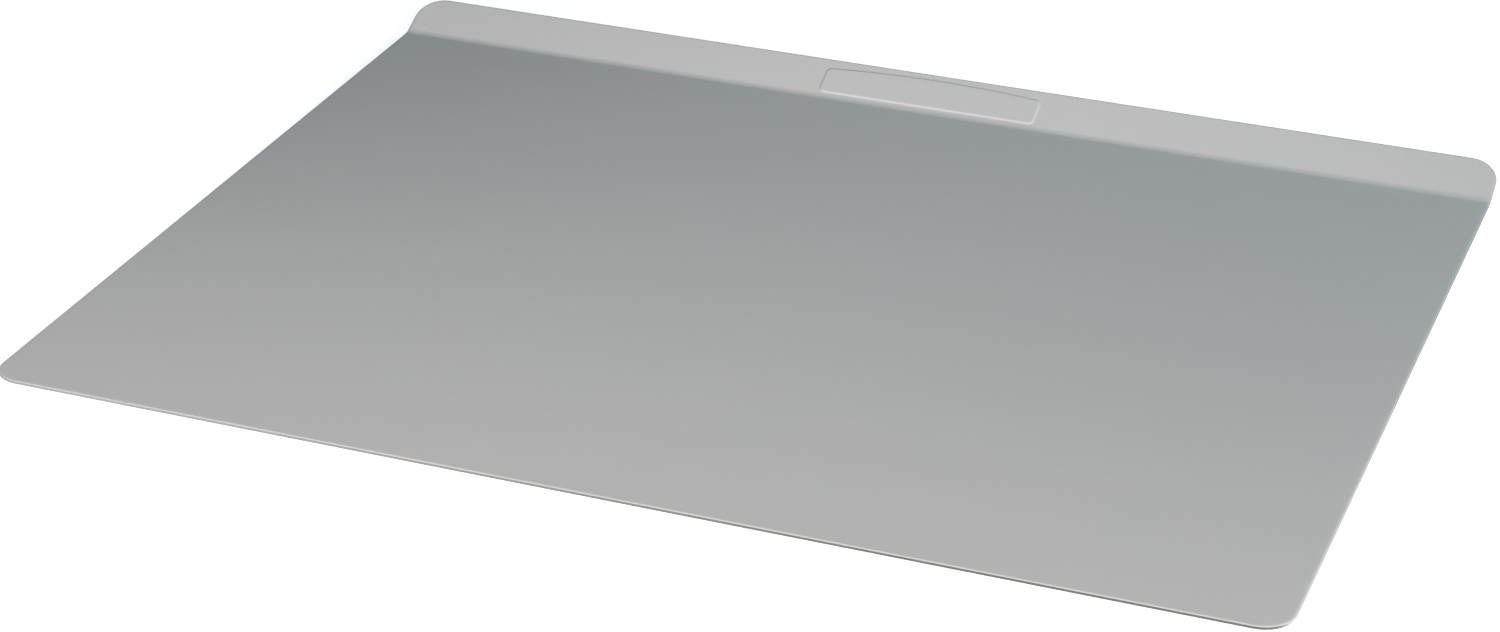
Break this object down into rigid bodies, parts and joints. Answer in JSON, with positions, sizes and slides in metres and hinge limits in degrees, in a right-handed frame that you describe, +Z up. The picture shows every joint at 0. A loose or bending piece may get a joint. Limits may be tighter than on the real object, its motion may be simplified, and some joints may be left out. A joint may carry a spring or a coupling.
{
  "type": "cookie sheet",
  "caption": "Flat cookie sheet with rounded corners, one long edge turned up to hold it by, and a drawn base folded into its edge with a layer of air between them.",
  "frame": {"origin": "under the middle of the sheet's outline, on the surface that it stands on", "axes": "+X along the width, +Y towards the turned-up edge, +Z up out of the baking face"},
  "size_m": [0.508, 0.3936, 0.0152],
  "materials": {
    "baking_sheet_coating": "satin light grey nonstick coating on sheet steel",
    "base_coating": "satin light grey coating on sheet steel, a little plainer than on top"
  },
  "bodies": {
    "root": {"baking_sheet": "baking_sheet_coating", "insulating_base": "base_coating"}
  },
  "joints": []
}
